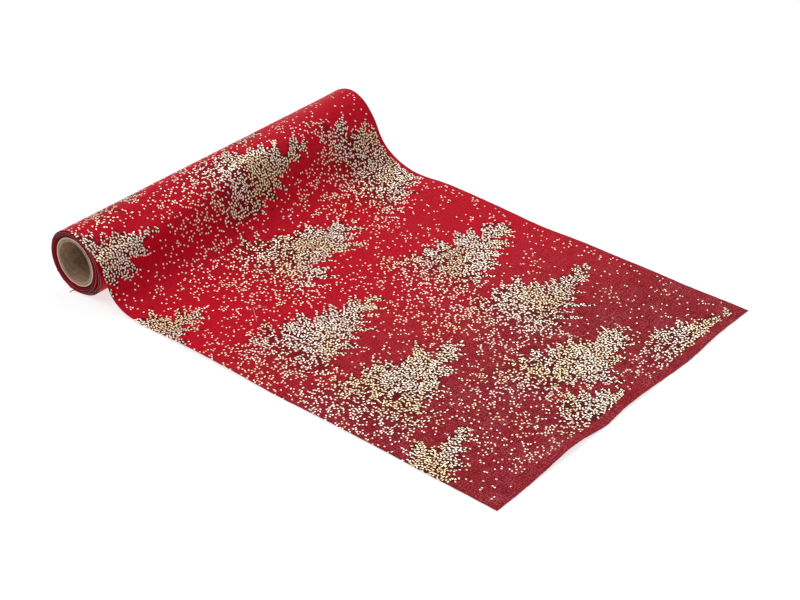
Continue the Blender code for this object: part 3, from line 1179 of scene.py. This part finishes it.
def strand(name, line, radius, finish):
    """A thread along a line: a closed tube, thinner at its two ends."""
    line = np.asarray(line)
    knots = np.arange(len(line))
    at = np.linspace(0, len(line) - 1, 6 * len(line))  # six rings to each given point
    line = np.stack([np.interp(at, knots, line[:, axis]) for axis in range(3)], 1)
    line[1:-1] = (line[:-2] + 2 * line[1:-1] + line[2:]) / 4
    heading = np.gradient(line, axis=0)
    heading /= np.linalg.norm(heading, axis=1, keepdims=True)
    across = np.cross(heading, (0, 0, 1))
    across /= np.linalg.norm(across, axis=1, keepdims=True)
    over = np.cross(across, heading)
    sides = 6
    angle = (np.arange(sides) * math.tau / sides)[None, :, None]
    thin = (radius * (1 - 0.6 * np.abs(np.linspace(-1, 1, len(line))) ** 6))[:, None, None]
    rings = line[:, None] + thin * (np.cos(angle) * across[:, None] + np.sin(angle) * over[:, None])
    faces = [tuple(range(sides)), tuple(range(sides * len(line) - 1, sides * (len(line) - 1) - 1, -1))]
    for k in range(len(line) - 1):
        for j in range(sides):
            after = (j + 1) % sides
            faces.append((k * sides + after, k * sides + j, (k + 1) * sides + j, (k + 1) * sides + after))
    mesh = bpy.data.meshes.new(name)
    mesh.from_pydata(rings.reshape(-1, 3).tolist(), [], faces)
    mesh.materials.append(finish)
    mesh.shade_smooth()
    return new_object(name, mesh)


class CLOTHROLL_OT_stage(Operator):
    """Set the pale floor, the soft lights and the camera"""

    bl_idname = "cloth_roll.stage"
    bl_label = "Stage"

    def execute(self, context):
        scene = context.scene
        stage = scene.stage_settings
        light_table()
        studio_world(scene)
        sun("key", azimuth=-50, elevation=58, strength=1.15, spread=60)
        sun("sheen", azimuth=213, elevation=47, strength=0.55, spread=20)
        scene.camera = camera_at(stage)
        scene.view_settings.view_transform = "Standard"
        return {"FINISHED"}


def light_table():
    """A wide floor just under the cloth: a white sheet, glowing, so that shadows on it stay faint."""
    half, z = 4.0, -0.4 * MM
    mesh = bpy.data.meshes.new("floor")
    corners = [(-half, -half, z), (half, -half, z), (half, half, z), (-half, half, z)]
    mesh.from_pydata(corners, [], [(0, 1, 2, 3)])
    finish, tree, shader = finish_of("light_table", Roughness=1.0, Specular_IOR_Level=0.0)
    shader.inputs["Emission Color"].default_value = (1, 1, 1, 1)
    shader.inputs["Emission Strength"].default_value = 0.70
    tone = noise_at(tree, object_place(tree), scale=3.0, detail=2)
    plug(tree, mixed(tree, tone, (0.36, 0.36, 0.36), (0.39, 0.39, 0.39)), shader.inputs["Base Color"])
    mesh.materials.append(finish)
    return new_object("floor", mesh)


def camera_at(stage):
    """The camera, set back from its target by the stage's angles and distance."""
    lens = bpy.data.cameras.new("camera")
    lens.lens = stage.lens
    lens.sensor_width = 36
    camera = new_object("camera", lens)
    level = math.cos(stage.elevation)
    back = Vector((
        math.sin(stage.azimuth) * level, -math.cos(stage.azimuth) * level, math.sin(stage.elevation)
    ))
    camera.location = Vector(stage.target) + back * stage.distance
    camera.rotation_mode = "QUATERNION"
    camera.rotation_quaternion = (-back).to_track_quat("-Z", "Y")
    return camera


def studio_world(scene):
    """An even light from all round, which the camera sees as a white wall."""
    world = bpy.data.worlds.new("studio")
    scene.world = world
    world.use_nodes = True
    tree = world.node_tree
    room = tree.nodes["Background"]
    room.inputs["Color"].default_value = (1, 1, 1, 1)
    room.inputs["Strength"].default_value = 0.58
    wall = tree.nodes.new("ShaderNodeBackground")
    wall.inputs["Color"].default_value = (1, 1, 1, 1)
    seen = tree.nodes.new("ShaderNodeLightPath")
    either = tree.nodes.new("ShaderNodeMixShader")
    tree.links.new(seen.outputs["Is Camera Ray"], either.inputs[0])
    tree.links.new(room.outputs[0], either.inputs[1])
    tree.links.new(wall.outputs[0], either.inputs[2])
    tree.links.new(either.outputs[0], tree.nodes["World Output"].inputs["Surface"])


def sun(name, azimuth, elevation, strength, spread):
    """A far, broad light. azimuth: 0 from the front (-Y) and 90 from the right; angles in degrees."""
    light = bpy.data.lights.new(name, "SUN")
    light.energy = strength
    light.angle = math.radians(spread)
    made = new_object(name, light)
    turn, rise = math.radians(azimuth), math.radians(elevation)
    place = Vector((math.sin(turn) * math.cos(rise), -math.cos(turn) * math.cos(rise), math.sin(rise)))
    made.location = place
    made.rotation_mode = "QUATERNION"
    made.rotation_quaternion = (-place).to_track_quat("-Z", "Y")


class CLOTHROLL_OT_finishes(Operator):
    """Make the cloth's finishes, which its pieces share"""

    bl_idname = "cloth_roll.finishes"
    bl_label = "Cloth finishes"

    def execute(self, context):
        woven_cloth(context.scene.cloth_settings, context.scene.print_settings.scorch)
        cut_cloth_edge()
        return {"FINISHED"}


class CLOTHROLL_PT_panel(Panel):
    """Lists what the roll is made of, in the order it is made"""

    bl_label = "Cloth roll"
    bl_idname = "CLOTHROLL_PT_panel"
    bl_space_type = "VIEW_3D"
    bl_region_type = "UI"
    bl_category = "Cloth roll"

    def draw(self, context):
        column = self.layout.column(align=True)
        for operator in OPERATORS:
            column.operator(operator.bl_idname)
        for group in SETTINGS:
            box = self.layout.box()
            owner = getattr(context.scene, group)
            for name in owner.bl_rna.properties.keys():
                if name not in ("rna_type", "name"):
                    box.prop(owner, name)


OPERATORS = (
    CLOTHROLL_OT_finishes,
    CLOTHROLL_OT_core,
    CLOTHROLL_OT_wound_turns,
    CLOTHROLL_OT_loose_turns,
    CLOTHROLL_OT_drawn_cloth,
    CLOTHROLL_OT_gold_print,
    CLOTHROLL_OT_threads,
    CLOTHROLL_OT_stage,
)
SETTINGS = {
    "cloth_settings": ClothSettings,
    "print_settings": PrintSettings,
    "core_settings": CoreSettings,
    "stage_settings": StageSettings,
}


def register():
    for group in (*SETTINGS.values(), *OPERATORS, CLOTHROLL_PT_panel):
        bpy.utils.register_class(group)
    for name, group in SETTINGS.items():
        setattr(bpy.types.Scene, name, PointerProperty(type=group))


def unregister():
    for name in SETTINGS:
        delattr(bpy.types.Scene, name)
    for group in reversed((*SETTINGS.values(), *OPERATORS, CLOTHROLL_PT_panel)):
        bpy.utils.unregister_class(group)


def main():
    register()
    for operator in OPERATORS:
        area, name = operator.bl_idname.split(".")
        getattr(getattr(bpy.ops, area), name)()


if __name__ == "__main__":
    main()
